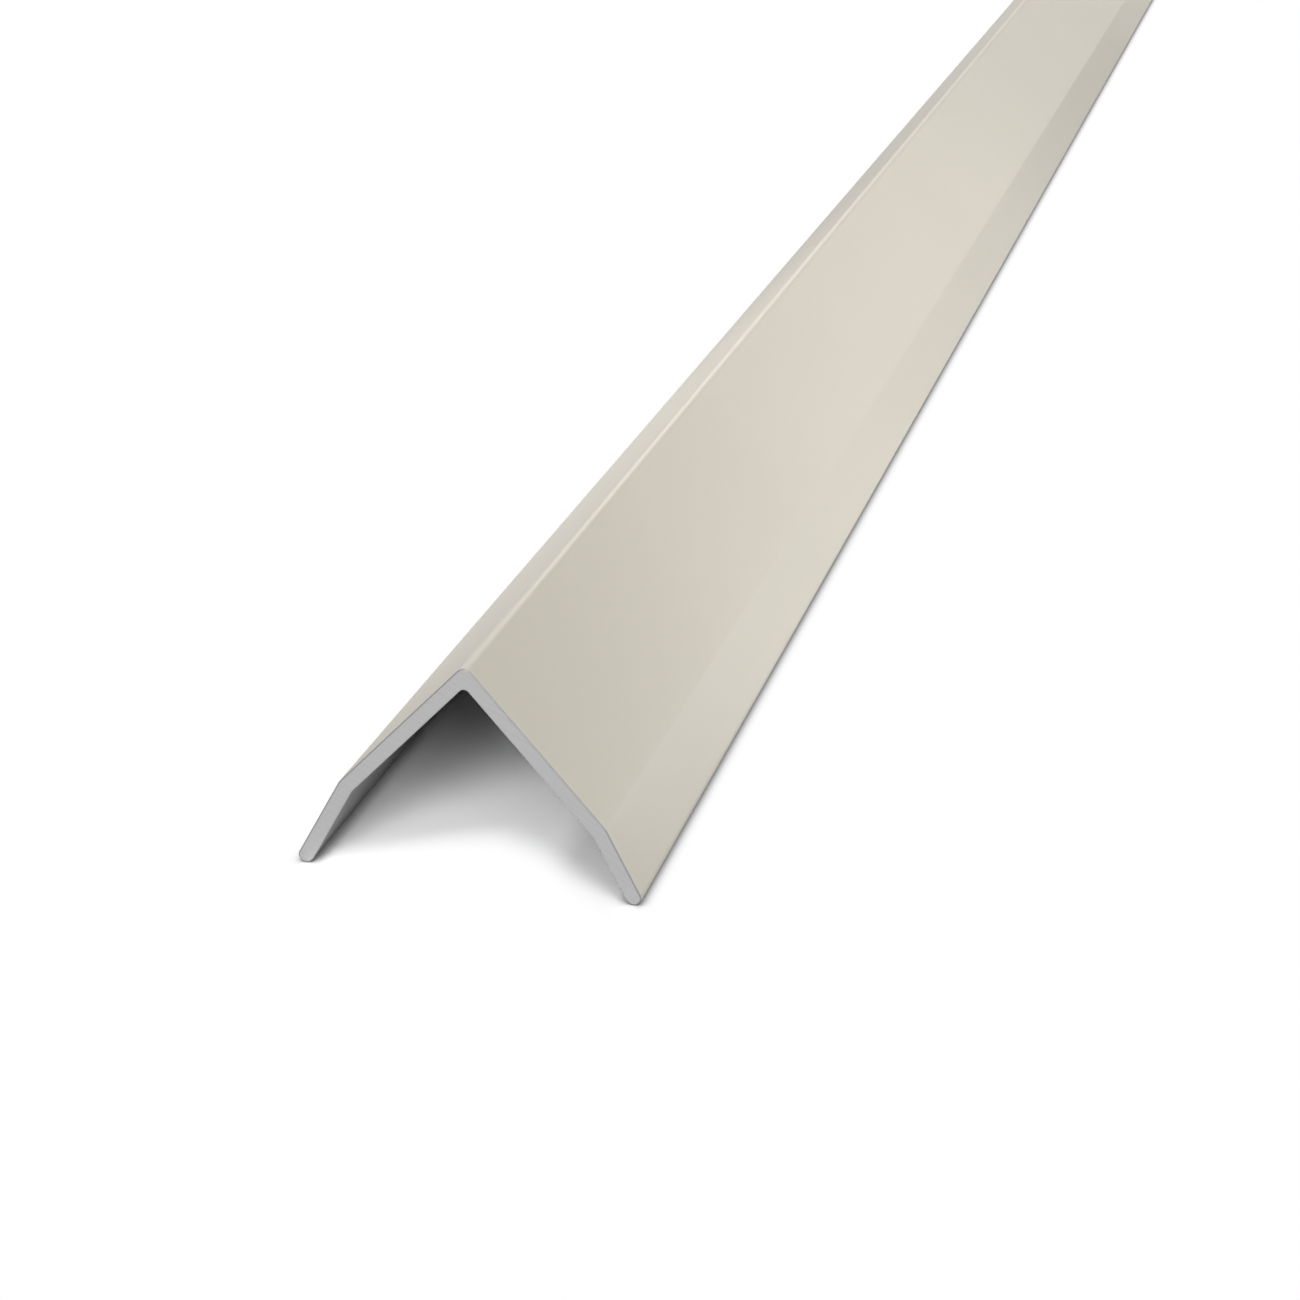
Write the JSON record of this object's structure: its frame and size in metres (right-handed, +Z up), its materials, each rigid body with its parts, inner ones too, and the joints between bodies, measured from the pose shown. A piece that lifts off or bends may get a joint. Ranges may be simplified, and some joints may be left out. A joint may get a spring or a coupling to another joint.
{
  "type": "aluminium edge trim",
  "caption": "V-shaped aluminium corner trim, its legs turned in towards rounded tips, coated outside. Bonded over an outside wall corner, it covers and protects the edge.",
  "frame": {"origin": "on the floor, below the middle of the stock's length and halfway between the two leg tips", "axes": "+X along the stock, +Y towards the left leg (the one with the longer flange), +Z up through the ridge"},
  "size_m": [1, 0.036, 0.0233],
  "materials": {
    "coated_aluminium": "satin beige-grey coat outside, bare metal on the sawn ends and inside"
  },
  "bodies": {
    "root": {"edge_trim": "coated_aluminium"}
  },
  "joints": []
}
